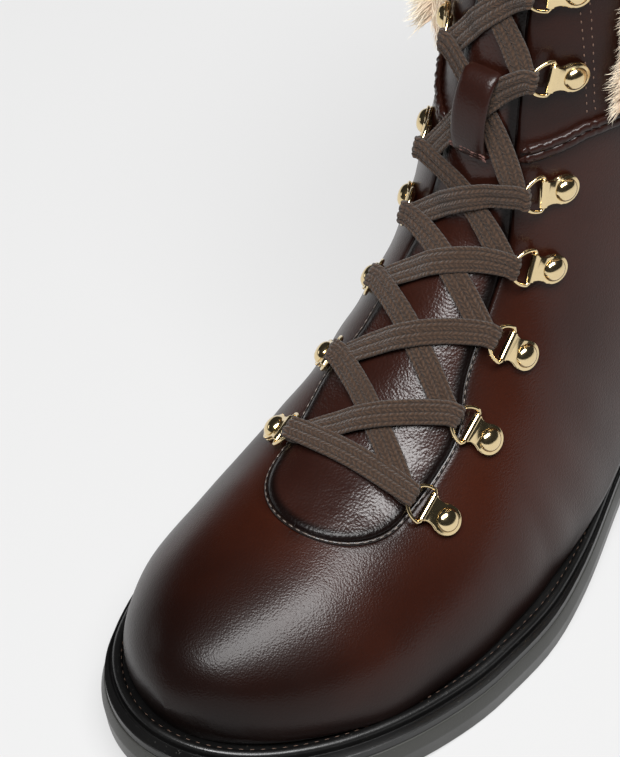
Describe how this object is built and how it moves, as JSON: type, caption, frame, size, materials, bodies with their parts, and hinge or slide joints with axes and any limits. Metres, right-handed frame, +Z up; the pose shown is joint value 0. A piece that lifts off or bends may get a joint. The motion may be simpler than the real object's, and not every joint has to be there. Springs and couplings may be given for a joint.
{
  "type": "winter boot",
  "caption": "Left lace-up leather ankle boot with a rounded toe, a low rubber sole, D-ring lacing, a padded tongue and a pile collar.",
  "frame": {"origin": "on the floor under the middle of the boot", "axes": "+X to the toe, +Y to the outer side of the foot, +Z up"},
  "size_m": [0.272, 0.0941, 0.1801],
  "materials": {
    "leather": "polished dark brown",
    "plug": "softly grained dark brown",
    "rubber": "satin black",
    "footbed": "matt",
    "fur": "cream pile",
    "brass": "polished pale gold",
    "lace": "flat woven brown"
  },
  "bodies": {
    "root": {"outsole": "rubber", "heel": "rubber", "welt": "rubber", "insole": "footbed", "upper": "leather", "tongue": "plug", "lace": "lace", "keeper_loop": "leather", "fur_collar": "fur", "clip_outer_1": "brass", "ring_outer_1": "brass", "clip_inner_1": "brass", "ring_inner_1": "brass", "clip_outer_2": "brass", "ring_outer_2": "brass", "clip_inner_2": "brass", "ring_inner_2": "brass", "clip_outer_3": "brass", "ring_outer_3": "brass", "clip_inner_3": "brass", "ring_inner_3": "brass", "clip_outer_4": "brass", "ring_outer_4": "brass", "clip_inner_4": "brass", "ring_inner_4": "brass", "clip_outer_5": "brass", "ring_outer_5": "brass", "clip_inner_5": "brass", "ring_inner_5": "brass", "clip_outer_6": "brass", "ring_outer_6": "brass", "clip_inner_6": "brass", "ring_inner_6": "brass", "clip_outer_7": "brass", "ring_outer_7": "brass", "clip_inner_7": "brass", "ring_inner_7": "brass"}
  },
  "joints": []
}
